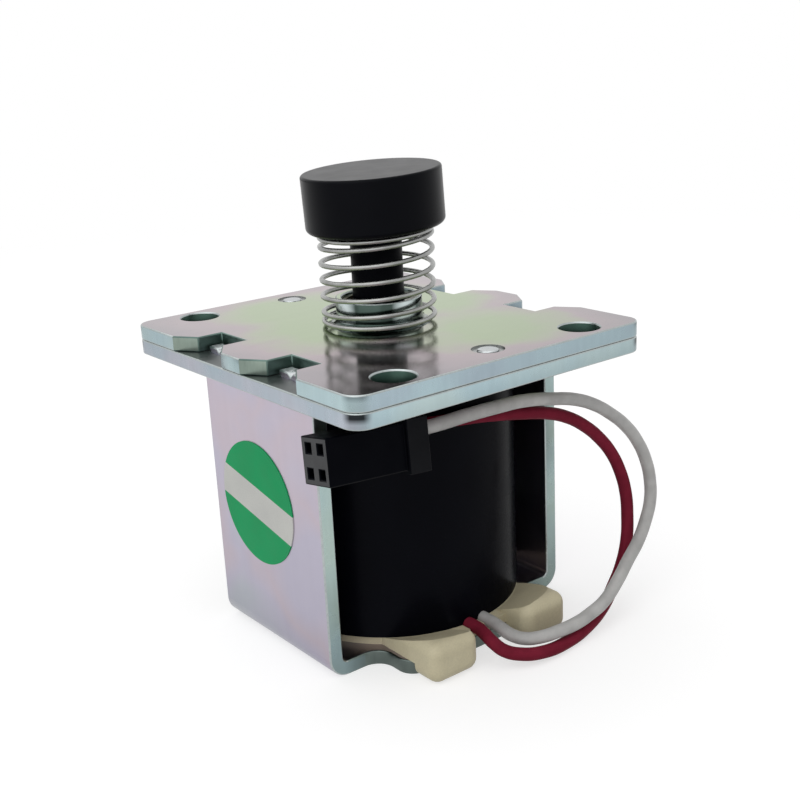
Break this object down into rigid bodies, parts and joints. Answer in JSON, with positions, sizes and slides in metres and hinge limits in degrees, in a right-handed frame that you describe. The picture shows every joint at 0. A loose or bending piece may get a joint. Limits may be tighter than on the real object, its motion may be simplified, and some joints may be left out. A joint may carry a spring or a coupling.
{
  "type": "gas solenoid valve",
  "caption": "Flange-mounted gas solenoid valve: a rubber sealing disc on a sprung plunger, drawn down by a coil in a bent steel yoke, with two short leads to a small connector.",
  "frame": {"origin": "centre of the flange plate's top face, on the plunger axis and at the middle of the mounting holes", "axes": "+Z along the plunger axis towards the sealing disc, X along the shorter plate edge, -Y the open side where the leads come out"},
  "size_m": [0.0431, 0.0438, 0.0503],
  "materials": {
    "zinc_flange": "zinc plate with iridescent passivation",
    "zinc_pole": "zinc plate with iridescent passivation",
    "rivet_steel": "bright zinc",
    "zinc_yoke": "zinc plate with iridescent passivation",
    "brass_tube": "drawn brass",
    "seal_rubber": "moulded rubber",
    "core_steel": "turned soft iron",
    "brass_shim": "rolled brass",
    "beige_nylon": "moulded nylon",
    "copper_wire": "enamelled copper wire",
    "black_wrap": "glossy black wrap",
    "plunger_steel": "turned soft iron",
    "stem_plastic": "moulded black plastic",
    "disc_rubber": "moulded nitrile rubber",
    "spring_steel": "stainless spring wire",
    "red_pvc": "red lead insulation",
    "white_pvc": "white lead insulation",
    "connector_plastic": "moulded black plastic",
    "tinned_brass": "tinned brass",
    "green_sticker": "printed vinyl, two green segments and a pale band"
  },
  "bodies": {
    "valve_body": {"flange_plate": "zinc_flange", "pole_plate": "zinc_pole", "plate_rivets": "rivet_steel", "yoke_frame": "zinc_yoke", "guide_tube": "brass_tube", "tube_seal": "seal_rubber", "fixed_core": "core_steel", "residual_shim": "brass_shim", "bobbin": "beige_nylon", "coil_winding": "copper_wire", "coil_wrap": "black_wrap", "return_spring": "spring_steel", "lead_red": "red_pvc", "lead_white": "white_pvc", "connector_housing": "connector_plastic", "connector_terminals": "tinned_brass", "inspection_sticker": "green_sticker"},
    "plunger_body": {"plunger": "plunger_steel", "stem": "stem_plastic", "valve_disc": "disc_rubber"}
  },
  "joints": [
    {"name": "plunger_slide", "type": "slide", "parent": "valve_body", "child": "plunger_body", "axis": [0, 0, -1], "range_m": [0, 0.0045], "stiffness_N_per_m": 280, "deforming": ["return_spring"]}
  ]
}
